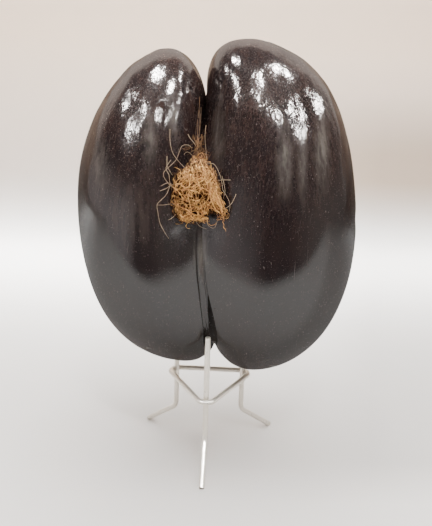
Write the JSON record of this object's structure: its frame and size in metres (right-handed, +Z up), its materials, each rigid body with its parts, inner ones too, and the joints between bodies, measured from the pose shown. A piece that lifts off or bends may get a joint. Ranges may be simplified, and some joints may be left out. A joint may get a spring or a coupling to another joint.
{
  "type": "double coconut",
  "caption": "Two-lobed dark lacquered palm nut with a fibre tuft in its groove, resting upright on a bent-wire stand.",
  "frame": {"origin": "middle of the bounding box's underside, on the table between the feet", "axes": "+Z up, -Y towards the side with the fibre tuft, +X towards the larger lobe"},
  "size_m": [0.2554, 0.1692, 0.3829],
  "materials": {
    "nut": "glossy clear lacquer over a near-black brown husk",
    "fibre_tuft": "dry matted plant fibre",
    "stand_ring": "bright drawn wire",
    "stand_leg_front": "bright drawn wire",
    "stand_leg_left": "bright drawn wire",
    "stand_leg_right": "bright drawn wire"
  },
  "bodies": {
    "root": {"nut": "nut", "fibre_tuft": "fibre_tuft", "stand_ring": "stand_ring", "stand_leg_front": "stand_leg_front", "stand_leg_left": "stand_leg_left", "stand_leg_right": "stand_leg_right"}
  },
  "joints": []
}
